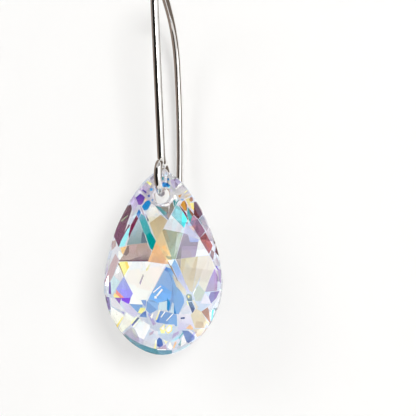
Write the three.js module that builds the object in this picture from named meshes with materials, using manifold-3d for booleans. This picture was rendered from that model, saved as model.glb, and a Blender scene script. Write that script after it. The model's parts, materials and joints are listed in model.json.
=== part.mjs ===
// A drop earring: a faceted pear crystal that hangs in the turned loop of a long bent ear wire.
// Millimetres, +Z up. The crystal's face looks towards -Y and the wire bends in the plane x = 0.
// The origin is on the wire's centreline at the top of its upper bend, where the earring hangs.

import * as THREE from 'three';
import { mergeVertices } from 'three/addons/utils/BufferGeometryUtils.js';
import Module from 'manifold-3d';

const wasm = await Module();
wasm.setup();

// Ear wire
const wireDiameter = 1.0;
const wireSides = 14;
const neckBendRadius = 0.8;
const freeEndGap = 0.12;
const legLean = 8.5; // degrees that the front leg leans forwards
const frontLegLength = 18.3;
const topBendRadius = 2.8;
const topBendTurn = 132; // degrees
const backStraightLength = 2.7;
const backBendRadius = 9.6;
const backBendTurn = 45;
const tailBendRadius = 50;
const tailBendTurn = 18;

// Crystal outline, seen from the front
const dropHeight = 22;
const dropWidth = 14.4;
const widestBelowTip = 13.7;
const shoulderPower = 1.6; // 2 is an ellipse, and less is straighter
const basePower = 1.85;
const outlineSides = 56;

// Crystal depths, measured from its middle plane
const tableDepth = 3.6;
const culetDepth = 3.3;
const girdleThickness = 0.7;
const tabThickness = 1.9; // the thin part round the hole

// Hole near the tip
const tipWall = 2.04;
const holeClearance = 0.55;
const rimBevel = 0.3;
const holeSides = 32;

// How the crystal sits in the loop
const loopRoom = 0.05;
const hangGap = 0.12;

// Table: a tall rhombus in the middle of the face
const tableBelowTip = 11.5;
const tableHalfWidth = 1.18;
const tableHalfHeight = 2.46;

// Slopes are the depth that a facet loses per millimetre towards the outline.
const crownSlope = 0.277;
const bevelSlope = 1.34;
const breakSlope = 1.34;
const breakFan = 24; // degrees between the three facets below the hole
const breakHalfWidth = 1.3;
const breakBelowRim = 0.12;
const culetBelowTip = 11.4;
const pavilionBorderDepth = 1.2;
const pavilionBorderInset = 1.0;

// Rings of facets between the outline and the big facets. A ring's planes start at the outline,
// rise above the girdle's edge. Directions are degrees clockwise from up, and each has a mirror.
const faceRings = [
  {
    ring: 'bevels', slope: bevelSlope, rise: 0,
    directions: [0, 24, 41, 52, 62, 74, 90, 106, 121, 136, 151, 166, 180],
  },
  { ring: 'upper side bands', slope: 1.0, rise: 0.15, directions: [47, 57, 68, 82] },
  { ring: 'lower kites', slope: 0.85, rise: 0.25, directions: [98, 113, 128, 143, 158, 173] },
  { ring: 'lower lozenges', slope: 0.45, rise: 0.75, directions: [106, 121, 136, 151, 166, 180] },
];
const backRings = [
  {
    ring: 'bevels', slope: bevelSlope, rise: 0,
    directions: [0, 32, 47, 57, 68, 82, 98, 114, 129, 144, 158, 172],
  },
  { ring: 'side kites', slope: 0.7, rise: 0.3, directions: [52, 74, 90, 106] },
  { ring: 'lower kites', slope: 0.7, rise: 0.3, directions: [121, 136, 151, 165, 180] },
];
const pavilionDirections = [0, 60, 120, 180];

const { degToRad, radToDeg } = THREE.MathUtils;
const wireRadius = wireDiameter / 2;
const holeRadius = wireRadius + holeClearance;
const holeBelowTip = tipWall + holeRadius;
const tabHalf = tabThickness / 2;
const loopInnerRadius = Math.hypot(tipWall, tabThickness) / 2 + loopRoom;
const loopRadius = loopInnerRadius + wireRadius;

// A closed three.js geometry as a solid
function solidFrom(geometry) {
  const bare = geometry.clone();
  bare.deleteAttribute('normal');
  bare.deleteAttribute('uv');
  const merged = mergeVertices(bare, 1e-5);
  return new wasm.Manifold(new wasm.Mesh({
    numProp: 3,
    vertProperties: new Float32Array(merged.attributes.position.array),
    triVerts: new Uint32Array(merged.index.array),
  }));
}

// A solid back as a flat-shaded geometry
function geometryFrom(solid) {
  const mesh = solid.getMesh();
  const indexed = new THREE.BufferGeometry();
  indexed.setAttribute('position', new THREE.BufferAttribute(mesh.vertProperties, 3));
  indexed.setIndex(new THREE.BufferAttribute(mesh.triVerts, 1));
  const flat = indexed.toNonIndexed();
  flat.computeVertexNormals();
  return flat;
}

// A centreline in the plane x = 0, made of straight runs and bends. A point is (back, up), an
// angle is counted from straight back, and a bend with a positive turn goes clockwise seen from +X.
// Each stretch has its own number of steps, so the wire is fine in tight bends and plain elsewhere.
class WirePath extends THREE.Curve {
  constructor(start, heading, stretches) {
    super();
    this.parts = [];
    this.steps = 0;
    let at = start;
    let angle = heading;
    for (const { name, length = 0, radius = 0, turn = 0, steps } of stretches) {
      const part = { name, at, angle, length, turn: degToRad(turn), steps, first: this.steps };
      part.radius = radius * Math.sign(turn);
      part.centre = new THREE.Vector2(Math.sin(angle), -Math.cos(angle)).multiplyScalar(part.radius).add(at);
      this.parts.push(part);
      this.steps += steps;
      at = this.place(part, 1);
      angle -= part.turn;
    }
  }

  place(part, share) {
    if (part.turn === 0) {
      const along = new THREE.Vector2(Math.cos(part.angle), Math.sin(part.angle));
      return along.multiplyScalar(part.length * share).add(part.at);
    }
    const angle = part.angle - part.turn * share;
    return new THREE.Vector2(-Math.sin(angle), Math.cos(angle)).multiplyScalar(part.radius).add(part.centre);
  }

  find(t) {
    const step = t * this.steps;
    const part = this.parts.findLast((candidate) => step >= candidate.first);
    return { part, share: Math.min((step - part.first) / part.steps, 1) };
  }

  getPoint(t, target = new THREE.Vector3()) {
    const { part, share } = this.find(t);
    const point = this.place(part, share);
    return target.set(0, point.x, point.y);
  }

  getTangent(t, target = new THREE.Vector3()) {
    const { part, share } = this.find(t);
    const angle = part.angle - part.turn * share;
    return target.set(0, Math.cos(angle), Math.sin(angle));
  }

  // Stations follow the steps instead of the arc length.
  getPointAt(t, target) {
    return this.getPoint(t, target);
  }

  getTangentAt(t, target) {
    return this.getTangent(t, target);
  }
}

// The whole wire about its loop's centre: down the front of the loop from the free end, round and
// up its back, over the neck bend into the front leg, over the top and down behind. The free end
// stops freeEndGap short of the neck bend.
function makeWirePath() {
  const span = loopRadius + neckBendRadius;
  const joinAngle = Math.asin(neckBendRadius / span);
  const endReach = neckBendRadius + wireDiameter + freeEndGap;
  const cosine = (loopRadius ** 2 + span ** 2 - endReach ** 2) / (2 * loopRadius * span);
  const freeAngle = Math.acos(cosine) - joinAngle;
  const startAngle = degToRad(90 + legLean) + freeAngle;
  const start = new THREE.Vector2(Math.cos(startAngle), Math.sin(startAngle)).multiplyScalar(loopRadius);
  return new WirePath(start, startAngle + Math.PI / 2, [
    { name: 'loop', radius: loopRadius, turn: radToDeg(freeAngle + joinAngle) - 360, steps: 40 },
    { name: 'neck', radius: neckBendRadius, turn: 90 - radToDeg(joinAngle), steps: 6 },
    { name: 'front leg', length: frontLegLength, steps: 2 },
    { name: 'top bend', radius: topBendRadius, turn: topBendTurn, steps: 14 },
    { name: 'back straight', length: backStraightLength, steps: 1 },
    { name: 'back bend', radius: backBendRadius, turn: backBendTurn, steps: 6 },
    { name: 'tail', radius: tailBendRadius, turn: tailBendTurn, steps: 5 },
  ]);
}

const wirePath = makeWirePath();
const topBend = wirePath.parts.find((part) => part.name === 'top bend');
const loopCentre = topBend.centre.clone().negate();
loopCentre.y -= topBendRadius;

function makeEarWire() {
  const section = new THREE.Shape();
  section.absarc(0, 0, wireRadius, 0, 2 * Math.PI, false);
  const swept = new THREE.ExtrudeGeometry(section, {
    steps: wirePath.steps,
    curveSegments: wireSides / 2,
    extrudePath: wirePath,
  });
  let wire = solidFrom(swept);
  for (const end of [0, 1]) {
    const ball = new THREE.SphereGeometry(wireRadius, wireSides, wireSides / 2);
    const tip = wirePath.getPoint(end);
    ball.translate(tip.x, tip.y, tip.z);
    wire = wire.add(solidFrom(ball));
  }
  return geometryFrom(wire);
}

// The pear's outline about its tip, as points (x, z). Both halves are stretched superellipses.
function outlinePoint(angle) {
  const across = Math.sin(angle);
  const up = Math.cos(angle);
  const power = up > 0 ? shoulderPower : basePower;
  const reach = up > 0 ? widestBelowTip : dropHeight - widestBelowTip;
  const bulge = (value) => Math.sign(value) * Math.abs(value) ** (2 / power);
  return new THREE.Vector2(dropWidth / 2 * bulge(across), reach * bulge(up) - widestBelowTip);
}

const outline = Array.from({ length: outlineSides }, (unused, index) => (
  outlinePoint(2 * Math.PI * index / outlineSides)));

// The way that a direction points in the plane of the outline
function pointing(direction) {
  return new THREE.Vector2(Math.sin(degToRad(direction)), Math.cos(degToRad(direction)));
}

// How far the outline reaches from the tip in a direction
function outlineReach(direction) {
  return Math.max(...outline.map((point) => point.dot(pointing(direction))));
}

// Cuts one flat facet. side is -1 for the face and 1 for the back. The facet slopes away in its
// direction, and it lies at the given depth where it is reach away from the tip that way.
function cutFacet(solid, side, { direction, slope, reach, depth }) {
  const size = 4 * dropHeight;
  const way = pointing(direction);
  const normal = new THREE.Vector3(slope * way.x, side, slope * way.y).normalize();
  const upright = new THREE.Vector3(0, 0, 1);
  const cutter = new THREE.BoxGeometry(size, size, size);
  cutter.translate(0, 0, size / 2);
  cutter.applyQuaternion(new THREE.Quaternion().setFromUnitVectors(upright, normal));
  cutter.translate(reach * way.x, side * depth, reach * way.y);
  return solid.subtract(solidFrom(cutter));
}

function cutFacets(solid, side, facets) {
  return facets.reduce((cut, facet) => cutFacet(cut, side, facet), solid);
}

// Adds a left-hand twin to each facet that isn't straight up or down
function mirrored(facets) {
  const twins = facets.filter(({ direction }) => direction % 180 !== 0);
  return [...facets, ...twins.map((facet) => ({ ...facet, direction: -facet.direction }))];
}

function ringFacets({ slope, rise, directions }) {
  const depth = girdleThickness / 2 + rise;
  return mirrored(directions.map((direction) => (
    { direction, slope, reach: outlineReach(direction), depth })));
}

// The big facets of the face: one along each side of the table and one out of each corner. The
// slopes make each side's line run on straight past the corner.
function crownFacets() {
  const corner = Math.atan2(tableHalfWidth, tableHalfHeight);
  const sideDirection = 90 - radToDeg(corner);
  const sideFrom = tableHalfWidth * Math.cos(corner);
  const upSlope = 2 * crownSlope * Math.sin(corner);
  const acrossSlope = 2 * crownSlope * Math.cos(corner);
  return mirrored([
    { direction: 0, slope: upSlope, from: tableHalfHeight },
    { direction: sideDirection, slope: crownSlope, from: sideFrom },
    { direction: 90, slope: acrossSlope, from: tableHalfWidth },
    { direction: 180 - sideDirection, slope: crownSlope, from: sideFrom },
    { direction: 180, slope: upSlope, from: tableHalfHeight },
  ]).map(({ direction, slope, from }) => (
    { direction, slope, reach: from - tableBelowTip * pointing(direction).y, depth: tableDepth }));
}

// The big facets of the back, which meet in the culet
function pavilionFacets() {
  return mirrored(pavilionDirections.map((direction) => {
    const culetReach = -culetBelowTip * pointing(direction).y;
    const run = outlineReach(direction) - culetReach - pavilionBorderInset;
    const slope = (culetDepth - pavilionBorderDepth) / run;
    return { direction, slope, reach: culetReach, depth: culetDepth };
  }));
}

// The facets that fall from the thick body to the thin tab round the hole
function breakFacets() {
  const bottom = -(holeBelowTip + holeRadius + rimBevel + breakBelowRim);
  const corner = new THREE.Vector2(breakHalfWidth, bottom);
  return mirrored([0, breakFan].map((direction) => (
    { direction, slope: breakSlope, reach: pointing(direction).dot(corner), depth: tabHalf })));
}

// A round hole through the tab, with a bevelled rim on both faces
function drillHole(crystal) {
  const drill = new THREE.CylinderGeometry(holeRadius, holeRadius, dropWidth, holeSides);
  drill.translate(0, 0, -holeBelowTip);
  let drilled = crystal.subtract(solidFrom(drill));
  for (const side of [-1, 1]) {
    const outer = holeRadius + 2 * rimBevel;
    const rim = new THREE.CylinderGeometry(
      side > 0 ? outer : holeRadius, side > 0 ? holeRadius : outer, 2 * rimBevel, holeSides);
    rim.translate(0, side * tabHalf, -holeBelowTip);
    drilled = drilled.subtract(solidFrom(rim));
  }
  return drilled;
}

function makeCrystal() {
  const blank = new THREE.ExtrudeGeometry(new THREE.Shape(outline), {
    depth: 2 * (tableDepth + culetDepth),
    bevelEnabled: false,
  });
  blank.rotateX(Math.PI / 2);
  blank.translate(0, tableDepth + culetDepth, 0);
  const [faceBevels, ...innerFaceRings] = faceRings;
  const [backBevels, ...innerBackRings] = backRings;
  let bevelled = cutFacets(solidFrom(blank), -1, ringFacets(faceBevels));
  bevelled = cutFacets(bevelled, 1, ringFacets(backBevels));

  const flat = { direction: 0, slope: 0, reach: 0 };
  const tab = cutFacet(cutFacet(bevelled, -1, { ...flat, depth: tabHalf }), 1, { ...flat, depth: tabHalf });

  let body = cutFacet(bevelled, -1, { ...flat, depth: tableDepth });
  body = cutFacets(body, -1, [...crownFacets(), ...breakFacets(), ...innerFaceRings.flatMap(ringFacets)]);
  body = cutFacets(body, 1, [...pavilionFacets(), ...breakFacets(), ...innerBackRings.flatMap(ringFacets)]);
  return geometryFrom(drillHole(body.add(tab)));
}

const silver = new THREE.MeshStandardMaterial({ color: 0xd9dadb, metalness: 1.0, roughness: 0.08 });
const crystalGlass = new THREE.MeshStandardMaterial({
  color: 0xdfe6f2, metalness: 0.0, roughness: 0.02, transparent: true, opacity: 0.6 });

const earWire = new THREE.Mesh(makeEarWire(), silver);
earWire.name = 'ear_wire';
earWire.position.set(0, loopCentre.x, loopCentre.y);

// The crystal hangs on the lowest point of the loop, with its hole's top wall hangGap clear of it.
const holeTop = -Math.sqrt((loopInnerRadius - hangGap) ** 2 - (tabHalf - rimBevel) ** 2);
const crystalDrop = new THREE.Mesh(makeCrystal(), crystalGlass);
crystalDrop.name = 'crystal_drop';
crystalDrop.position.set(0, loopCentre.x, loopCentre.y + holeTop + tipWall);

const group = new THREE.Group();
group.add(earWire, crystalDrop);

export default group;
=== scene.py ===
import json
import math

import bmesh
import bpy
from mathutils import Matrix, Vector


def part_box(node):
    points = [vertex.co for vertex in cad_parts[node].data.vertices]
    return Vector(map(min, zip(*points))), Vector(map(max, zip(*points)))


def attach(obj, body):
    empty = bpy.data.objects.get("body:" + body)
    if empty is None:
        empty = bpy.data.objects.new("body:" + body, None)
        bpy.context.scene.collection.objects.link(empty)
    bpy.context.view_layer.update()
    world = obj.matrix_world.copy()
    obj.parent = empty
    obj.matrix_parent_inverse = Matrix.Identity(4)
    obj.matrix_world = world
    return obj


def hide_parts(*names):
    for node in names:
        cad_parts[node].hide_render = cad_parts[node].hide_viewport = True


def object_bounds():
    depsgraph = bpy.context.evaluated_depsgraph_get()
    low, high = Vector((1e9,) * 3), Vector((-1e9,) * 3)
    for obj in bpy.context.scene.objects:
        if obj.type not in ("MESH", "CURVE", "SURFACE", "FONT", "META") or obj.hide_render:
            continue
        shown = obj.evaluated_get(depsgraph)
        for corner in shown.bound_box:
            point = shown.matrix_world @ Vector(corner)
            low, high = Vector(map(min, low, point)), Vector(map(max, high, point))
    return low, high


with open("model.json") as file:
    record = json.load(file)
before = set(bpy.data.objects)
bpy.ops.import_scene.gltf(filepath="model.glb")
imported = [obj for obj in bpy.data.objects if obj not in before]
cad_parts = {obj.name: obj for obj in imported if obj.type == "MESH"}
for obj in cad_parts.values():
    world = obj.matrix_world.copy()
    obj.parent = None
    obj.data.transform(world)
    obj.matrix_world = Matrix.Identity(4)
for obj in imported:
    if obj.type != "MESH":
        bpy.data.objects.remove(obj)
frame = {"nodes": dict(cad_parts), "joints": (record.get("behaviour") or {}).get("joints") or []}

MM = 0.001
cad_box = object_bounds()
crystal_low, crystal_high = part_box("crystal_drop")
crystal_middle = (crystal_low + crystal_high) / 2
swing = Vector(frame["joints"][0]["pos_m"])

# The camera
PICTURE_SIZE = 416
SENSOR_WIDTH = 36
VIEW_AZIMUTH = math.radians(13)
VIEW_ELEVATION = math.radians(-8)
VIEW_ROLL = math.radians(0.6)
VIEW_DISTANCE = 130 * MM
PIXELS_PER_METRE = 8420
CRYSTAL_MIDDLE_PIXEL = (162.3, 261.5)
NEAREST_SEEN = 10 * MM
FARTHEST_SEEN = 10

# The ear wire. Its polished skin lies just inside the solid, which is WIRE_THICKNESS across.
WIRE_THICKNESS = 1.0 * MM
WIRE_RADIUS = 0.485 * MM
LOOP_RADIUS = 1.944 * MM
NECK_RADIUS = 0.8 * MM
FREE_END_GAP = 0.12 * MM
LEG_LEAN = 8.5
FRONT_LEG = 18.3 * MM
TOP_RADIUS = 2.8 * MM
TOP_TURN = 132
BACK_STRAIGHT = 2.7 * MM
BACK_RADIUS = 9.6 * MM
BACK_TURN = 45
TAIL_RADIUS = 50 * MM
TAIL_TURN = 18
WIRE_SIDES = 32
BEND_STEP = 4
BALL_RINGS = 6
LAST_BALL_RING = 0.97

# The backdrop and the floor, one sheet that curves up behind the earring
BACKDROP_GAP = 1.6 * MM
FLOOR_DROP = 30 * MM
SWEEP_RADIUS = 12 * MM
SHEET_REACH = 900 * MM
SHEET_FRONT = 350 * MM
SWEEP_STEPS = 12
PAPER = (0.93, 0.925, 0.915, 1)
PAPER_ROUGHNESS = 0.9

# The colours of the coating and of the painted reflections, highlights and shade in the facets, as they
# look against white, from 0 to 255
WHITE = (255, 255, 255)
SNOW = (242, 242, 240)
PEARL = (228, 226, 234)
PALE_GREY = (215, 215, 218)
SILVER = (193, 192, 200)
ASH = (168, 165, 176)
MIST = (200, 212, 228)
ICE = (208, 230, 240)
SKY = (165, 240, 252)
CREAM = (250, 248, 232)
IVORY = (230, 224, 208)
LINEN = (216, 205, 178)
CHAMPAGNE = (208, 190, 150)
DUNE = (203, 186, 158)
TAN = (205, 182, 150)
SAGE = (168, 176, 155)
PALE_SAGE = (199, 207, 192)
OLIVE = (180, 165, 130)
SMOKE = (138, 135, 122)
FOG = (145, 170, 178)
SLATE = (118, 132, 150)
TEAL_MIST = (92, 178, 190)
TEAL = (10, 160, 164)
DEEP_TEAL = (75, 148, 152)
AQUA = (100, 232, 240)
AQUA_GREY = (140, 200, 210)
AZURE = (66, 150, 212)
BLUE = (66, 122, 194)
DEEP_BLUE = (92, 132, 215)
BRIGHT_BLUE = (132, 188, 252)
CORNFLOWER = (136, 171, 222)
PERIWINKLE = (168, 180, 232)
NAVY = (90, 110, 180)
INK = (88, 90, 142)
VIOLET = (164, 160, 250)
BRIGHT_VIOLET = (138, 92, 232)
PURPLE = (98, 72, 165)
ORCHID = (152, 116, 192)
LILAC = (188, 174, 210)
LAVENDER = (210, 206, 234)
MAUVE = (190, 170, 167)
DUSK = (146, 130, 128)
PLUM = (124, 91, 113)
ASH_PLUM = (119, 98, 104)
INK_PLUM = (90, 50, 60)
MAROON = (130, 65, 90)
WINE = (168, 128, 150)
RUSSET = (116, 80, 84)
WISTERIA = (178, 158, 216)
STRAW = (226, 216, 160)
ROSEWOOD = (168, 104, 94)
UMBER = (150, 112, 90)
ROSE = (200, 178, 184)
PEACH = (240, 197, 152)
DEEP_PEACH = (234, 186, 152)
APRICOT = (250, 212, 150)
AMBER = (203, 152, 80)
BUTTER = (252, 246, 165)
GOLD = (255, 226, 122)
CORAL = (243, 158, 150)
HEATHER = (178, 160, 182)
IRIS = (146, 134, 182)
FROST = (228, 240, 242)
SOFT_BLUE = (152, 190, 238)
TEAL_GREY = (100, 156, 172)
STEEL = (124, 142, 188)
CLAY = (176, 142, 122)

# The coating's colours with painted internal reflections, highlights and shade over them: each patch
# goes from its first colour at its top to its second at its bottom, and its corners are pixels of the
# picture, in order round the patch.
# A later patch lies over the earlier ones.
PATCHES = (
    # the thin tab round the hole
    ("tab", PALE_GREY, SILVER, (
        (146, 184), (160, 170), (171, 170), (183, 182), (190, 195), (160, 212), (140, 200),
    )),
    ("tab grey left", ASH, SILVER, ((141, 191), (150, 182), (155, 190), (149, 199))),
    ("tab grey right", SILVER, PALE_GREY, ((172, 190), (182, 186), (187, 192), (177, 199))),
    ("tab shade", ASH, SILVER, ((150, 178), (157, 172), (158, 184), (152, 188))),
    # the left shoulder
    ("left shoulder", ASH_PLUM, PLUM, (
        (115, 230), (120, 220), (127.5, 205.5), (131.5, 204.5), (132, 211), (128.5, 219.5), (127, 224),
    )),
    ("left shoulder foot", PLUM, PLUM, ((113.5, 235.5), (115, 230), (127, 224), (125, 233), (118.7, 247))),
    ("left shoulder streak", SAGE, SAGE, ((120.5, 221), (128, 214.5), (127.5, 216.5), (122, 221.5))),
    ("left white line", PEARL, PEARL, ((128.5, 219.5), (132, 211), (133, 212), (128, 225), (124.5, 232))),
    ("left purple line", PLUM, WINE, ((124, 233), (129, 224), (130, 225), (121, 243), (119.5, 244))),
    ("left sky stripe", SKY, SKY, (
        (119, 247), (121, 241), (127.5, 229), (130, 227.5), (129, 234), (124.5, 246),
    )),
    ("left maroon stripe", MAROON, MAROON, (
        (136.5, 215), (138.2, 218.5), (129, 238), (128.5, 234.5), (131, 225),
    )),
    ("left yellow streak", BUTTER, APRICOT, ((132.5, 205), (134.6, 202.5), (133.8, 206.5), (132.6, 209.5))),
    ("left lavender block", LILAC, LAVENDER, (
        (130, 201), (134, 195), (137, 199), (138, 205), (133.5, 212),
    )),
    ("left pale stud", ICE, ICE, ((133, 216.5), (136, 211), (136.8, 214), (134, 219))),
    ("left blue stud", BLUE, AZURE, ((136.4, 214.3), (138.9, 209), (141, 212.5), (138.8, 218.3))),
    ("left pink stripe", LILAC, ROSE, ((140, 206), (142, 208.5), (144.8, 216), (143, 215))),
    # left of the hole
    ("left grey block", SILVER, LILAC, ((139, 190), (146, 182), (151, 186), (146, 192))),
    ("left purple kite", PURPLE, ORCHID, (
        (135.7, 197.5), (140.4, 193.6), (145, 197.1), (142.9, 203), (141, 205), (138.5, 205),
    )),
    ("left cream chip", APRICOT, CREAM, ((143.5, 203.5), (145, 198.5), (147, 199.5))),
    ("left blue kite", AZURE, AZURE, (
        (141.8, 206.4), (145.7, 201.4), (149.3, 200), (151, 203), (148.2, 209.3), (144.3, 210.7),
    )),
    ("left purple chip", PURPLE, PURPLE, ((142.1, 190), (142.9, 189.3), (146.8, 192.1), (145.7, 193.6))),
    ("left blue chip", AZURE, AZURE, ((149.8, 188.5), (152.5, 188), (152.5, 190.5), (150.3, 191))),
    ("left azure chip", AZURE, AZURE, ((151.5, 199.5), (153, 199.2), (152.8, 201), (151.8, 201))),
    ("left navy chip", NAVY, NAVY, ((147.5, 195.5), (149.8, 194.5), (150, 197), (148, 197))),
    ("left high butter", BUTTER, BUTTER, ((146.4, 182.5), (147.3, 180.8), (151.8, 183.5), (150.7, 185.8))),
    # under the hole
    ("white kite under hole", SNOW, IVORY, (
        (145.7, 213), (151.4, 203.6), (155, 205.7), (160.7, 214.7), (149.5, 223),
    )),
    ("slate line under hole", SLATE, SLATE, ((145.5, 214.5), (148.9, 220), (147.8, 222.3))),
    ("tan kite", TAN, LINEN, (
        (149.5, 223), (160.7, 214.7), (167.5, 220.5), (162.3, 230.5), (156.2, 241.2),
    )),
    ("grey under rim", SMOKE, SMOKE, ((158, 206), (172, 201), (174.3, 208), (168.4, 219))),
    ("teal line under rim", DEEP_TEAL, DEEP_TEAL, (
        (155.3, 205.8), (159, 206.5), (167, 213), (166.8, 215), (163.6, 215),
    )),
    ("slate chip under rim", SLATE, SLATE, ((163.6, 215), (166.8, 214.5), (168.6, 219), (168.2, 220.2))),
    ("grey glint under rim", PALE_GREY, SMOKE, ((168.5, 205), (170, 204.5), (169, 215), (168.2, 215))),
    ("green under rim", DEEP_TEAL, DEEP_TEAL, ((172.9, 198.6), (175.7, 201.4), (174.3, 208))),
    ("teal under rim", TEAL, TEAL, ((179.3, 199.3), (175.7, 205.7), (174.3, 208), (176, 202.5))),
    ("ice under rim", ICE, ICE, ((175.5, 196), (178.5, 199.5), (176, 202))),
    # right of the hole
    ("tip blue arc", BLUE, AZURE, (
        (162.5, 182), (167.5, 182.9), (170.4, 185.4), (168.6, 187.2), (162.9, 186.9),
    )),
    ("tip aqua chip", AQUA, SKY, ((167.5, 187.5), (169.8, 185.8), (169.5, 188))),
    ("tip teal dot", TEAL_MIST, TEAL_MIST, ((162, 177), (163.8, 176.8), (163.6, 180.3), (162.2, 180.5))),
    ("tip blue dot", AZURE, AZURE, ((167.2, 178.3), (169.2, 178.3), (169.2, 180.4), (167.3, 180.4))),
    ("tip sky", MIST, ICE, ((164, 176), (165.7, 171.5), (168, 173), (167, 176))),
    ("right lilac", LILAC, LAVENDER, (
        (170.4, 180), (176.4, 178.6), (180.7, 182), (174.3, 188.8), (172, 186.4),
    )),
    ("right white line", WHITE, WHITE, ((175.2, 188.8), (181, 182.6), (182.3, 184.8), (177, 189.2))),
    ("right pearl", SILVER, PALE_GREY, ((177, 188.7), (182.5, 185), (187, 189.3), (183, 193))),
    ("right butter bar", BUTTER, BUTTER, ((183.9, 192.5), (187, 190), (187.6, 190.8), (184.6, 193.3))),
    ("right pearl band", IVORY, DUNE, ((183.6, 195.7), (190, 192.9), (191.4, 195), (185.7, 198.2))),
    ("right amber chip", AMBER, AMBER, ((177.9, 195.7), (181.8, 194), (180, 198))),
    ("right steel chip", CORNFLOWER, CORNFLOWER, (
        (181, 199), (183.7, 198.8), (183.7, 200.8), (181, 200.5),
    )),
    ("right butter shoulder", STRAW, STRAW, ((185.5, 199.3), (189.3, 197.5), (190.7, 205), (189.3, 207.3))),
    ("right bronze eye", UMBER, AMBER, (
        (189.3, 199), (190.5, 197), (192.5, 197.5), (193, 200.5), (191.3, 201.8), (189.6, 201),
    )),
    ("right bright butter", BUTTER, GOLD, ((190.5, 203), (194, 202.5), (194, 210.7), (191, 208))),
    ("right amber kite", AMBER, AMBER, (
        (180.4, 205), (182.5, 201.4), (184.8, 200.4), (186.2, 205), (186.4, 210.7), (184.3, 210.7),
    )),
    ("right bronze line", UMBER, UMBER, ((184.8, 200.4), (187, 205), (186.8, 212), (186.2, 210))),
    ("right plum strip", PLUM, MAROON, (
        (178.4, 204.2), (180, 205.8), (186.4, 213.5), (188.6, 221.5), (187, 219),
    )),
    ("right teal crumb", TEAL_MIST, DEEP_TEAL, ((187.5, 206.5), (193, 216), (190, 222.8), (187, 216))),
    ("right bronze strip", UMBER, UMBER, ((188.4, 207.8), (194, 214.3), (192.5, 217), (190, 213))),
    ("aqua kite", AQUA_GREY, AQUA_GREY, ((171.4, 215), (176.4, 205), (179.6, 207), (187, 219), (184, 228))),
    ("aqua glow", AQUA, AQUA, ((182.5, 211), (186.8, 218.2), (187, 220.7), (184, 228), (181.5, 224))),
    # the right shoulder
    ("right shoulder", RUSSET, RUSSET, (
        (193.9, 202), (196.4, 201.8), (201.4, 208), (202.9, 214.3), (198.2, 219.3), (193.9, 215),
    )),
    ("right wine", WINE, WINE, ((190, 222.9), (192.9, 215), (197.9, 219.3), (205, 231), (200, 238))),
    ("right grey lilac", ASH, SILVER, (
        (198.6, 219.5), (203, 215), (205.5, 216), (209, 225.7), (206.8, 231.5),
    )),
    ("right edge grey", PEARL, SILVER, ((206, 233), (210, 226), (215, 239), (213, 245))),
    # the left middle
    ("left fog", MIST, FOG, ((126.6, 245), (131, 233), (138.6, 219), (143.6, 232), (147.2, 242.8))),
    ("left slate", SLATE, SLATE, ((142, 232), (144, 232.5), (147.3, 242.7), (141, 243))),
    ("teal strip", TEAL_MIST, TEAL_MIST, (
        (139, 218.6), (141, 213.6), (144.7, 216), (149.3, 227), (151, 232), (145.7, 235.4), (143.6, 232),
    )),
    ("teal tip", TEAL, TEAL, (
        (145.7, 235.4), (150.7, 232), (156, 241), (152.9, 250.7), (150, 248), (147.5, 241.5),
    )),
    ("left mauve", MAUVE, MAUVE, (
        (120, 260.4), (127.5, 245), (147.1, 242.9), (151.4, 251.4), (148.6, 260.7),
    )),
    ("left mauve light", ROSE, MAUVE, ((129, 246), (137, 245), (134, 256), (127, 257))),
    ("left mauve shade", DUSK, DUSK, ((124, 254.5), (127.5, 246), (129, 246), (129, 253), (126, 256))),
    ("left mauve foot", MAUVE, DUSK, ((151, 253), (148.6, 260.7), (128, 260.5), (144, 254.8))),
    ("left dark line", DUSK, PLUM, ((119, 260), (148.5, 260), (148.5, 261.4), (119, 261.4))),
    ("left ember", APRICOT, APRICOT, ((120.4, 248), (126.8, 246), (123, 254.4), (121.8, 253))),
    ("left snow", SNOW, SNOW, ((118.5, 250), (121.5, 253), (123.3, 255), (120, 259.5), (118, 257))),
    # the centre
    ("tan right", LINEN, APRICOT, (
        (156.2, 241.2), (162.3, 230.5), (163.5, 233), (172, 258.8), (168.2, 263.8),
    )),
    ("apricot glint", APRICOT, APRICOT, ((161.5, 247), (165, 245), (171, 256), (167, 254))),
    ("olive chip", OLIVE, OLIVE, ((165.5, 256), (171.5, 256.5), (172.3, 259), (168, 259.3))),
    ("peach", PEACH, PEACH, ((156.2, 241.2), (168.3, 264), (147, 264))),
    ("peach foot", PEACH, DEEP_PEACH, ((150, 256), (163.5, 256), (168.3, 264), (147, 264))),
    ("sage kite top", FROST, PEARL, (
        (167.9, 220.7), (171.4, 215), (184, 228.6), (182.5, 233.6), (163.5, 229),
    )),
    ("sage kite", SAGE, SAGE, ((162.3, 230.5), (163.5, 229), (182.7, 233), (175.7, 259), (172.3, 259))),
    ("sage kite shade", OLIVE, SAGE, ((162.3, 230.5), (166, 230), (170, 241), (169, 250))),
    ("sage kite light", PALE_SAGE, PALE_SAGE, ((177, 233), (182, 233.3), (178, 250), (174, 257))),
    # the right middle
    ("lavender cap", LAVENDER, LAVENDER, (
        (184.3, 230.7), (186.4, 224), (189.5, 222.5), (198.5, 237.5), (185, 236),
    )),
    ("mauve kite", HEATHER, DUSK, (
        (175.8, 259.3), (183.5, 233), (198.6, 239.3), (195.4, 256.8), (181, 258.6),
    )),
    ("mauve kite foot", HEATHER, HEATHER, ((182, 246), (197.5, 246), (195.4, 256.8), (181, 258.6))),
    ("periwinkle cap", LAVENDER, PERIWINKLE, ((188, 235), (199, 239.5), (198, 242), (190, 242))),
    ("mauve wedge", MAUVE, DUSK, ((176, 259.5), (181, 258.6), (180.3, 269.5))),
    ("pearl right", SNOW, SNOW, ((195.5, 256.6), (198.8, 240.5), (200.7, 240), (209.5, 255))),
    ("right rosewood", ROSEWOOD, ROSEWOOD, (
        (200, 238), (205.5, 232.5), (213, 246.4), (211.4, 249.3), (209.6, 255), (200.7, 240.7),
    )),
    ("right rose grey", DUSK, DUSK, ((211.4, 249.5), (214.3, 252), (213.2, 260.7), (210, 255.7))),
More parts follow.
